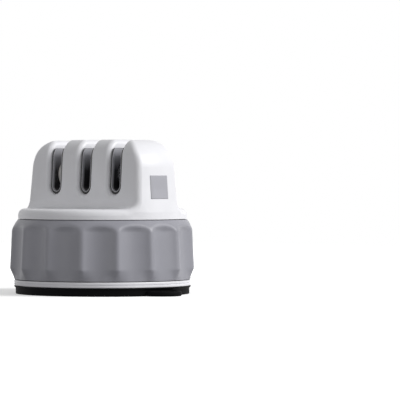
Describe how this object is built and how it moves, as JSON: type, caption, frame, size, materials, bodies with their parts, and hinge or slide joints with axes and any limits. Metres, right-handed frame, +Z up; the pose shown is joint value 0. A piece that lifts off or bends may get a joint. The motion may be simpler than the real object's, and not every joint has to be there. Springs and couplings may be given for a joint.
{
  "type": "pull-through knife sharpener",
  "caption": "Round white and grey knife sharpener on a black suction cup, with a row of slots for drawing a knife through.",
  "frame": {"origin": "middle of the suction cup's underside, on the worktop", "axes": "+Z up from the worktop; X along the row of slots, towards the end with the square label; Y the way a knife is drawn, with the front of the slots at -Y"},
  "size_m": [0.0746, 0.0742, 0.0626],
  "materials": {
    "black_rubber": "matte",
    "white_abs": "satin",
    "grey_abs": "satin",
    "dark_plastic": "satin",
    "natural_pom": "smooth",
    "steel": "zinc plated",
    "tungsten_carbide": "ground",
    "white_ceramic": "fine grit",
    "diamond_coated_steel": "diamond grit"
  },
  "bodies": {
    "base": {"suction_cup": "black_rubber", "base_plate": "white_abs", "slip_washer": "natural_pom", "top_shell": "white_abs", "shell_floor": "white_abs", "column_screws": "steel", "floor_screws": "steel", "cartridge_front": "dark_plastic", "cartridge_back": "dark_plastic", "cartridge_screws": "steel", "carbide_blade_front": "tungsten_carbide", "carbide_blade_back": "tungsten_carbide"},
    "turning_ring": {"grip_ring": "grey_abs", "cam_ring": "natural_pom"},
    "lifting_stem": {"lifter": "natural_pom", "cup_stud": "steel", "stud_washer": "steel", "stud_screw": "steel"},
    "ceramic_wheels": {"ceramic_wheel_left": "white_ceramic", "ceramic_wheel_right": "white_ceramic", "ceramic_axle": "steel"},
    "diamond_wheels": {"diamond_wheel_left": "diamond_coated_steel", "diamond_wheel_right": "diamond_coated_steel", "diamond_axle": "steel"}
  },
  "joints": [
    {"name": "ring_turn", "type": "hinge", "parent": "base", "child": "turning_ring", "pos_m": [0, 0, 0.006], "axis": [0, 0, -1], "range_deg": [0, 90]},
    {"name": "cup_lift", "type": "slide", "parent": "base", "child": "lifting_stem", "axis": [0, 0, 1], "range_m": [0, 0.003], "deforming": ["suction_cup"]},
    {"name": "ceramic_spin", "type": "hinge", "parent": "base", "child": "ceramic_wheels", "pos_m": [-0.0174, 0, 0.0486], "axis": [1, 0, 0], "continuous": true},
    {"name": "diamond_spin", "type": "hinge", "parent": "base", "child": "diamond_wheels", "pos_m": [0.0174, 0, 0.0486], "axis": [1, 0, 0], "continuous": true}
  ],
  "couplings": [
    {"joint": "cup_lift", "follows": "ring_turn", "m_per_rad": 0.0019099}
  ]
}
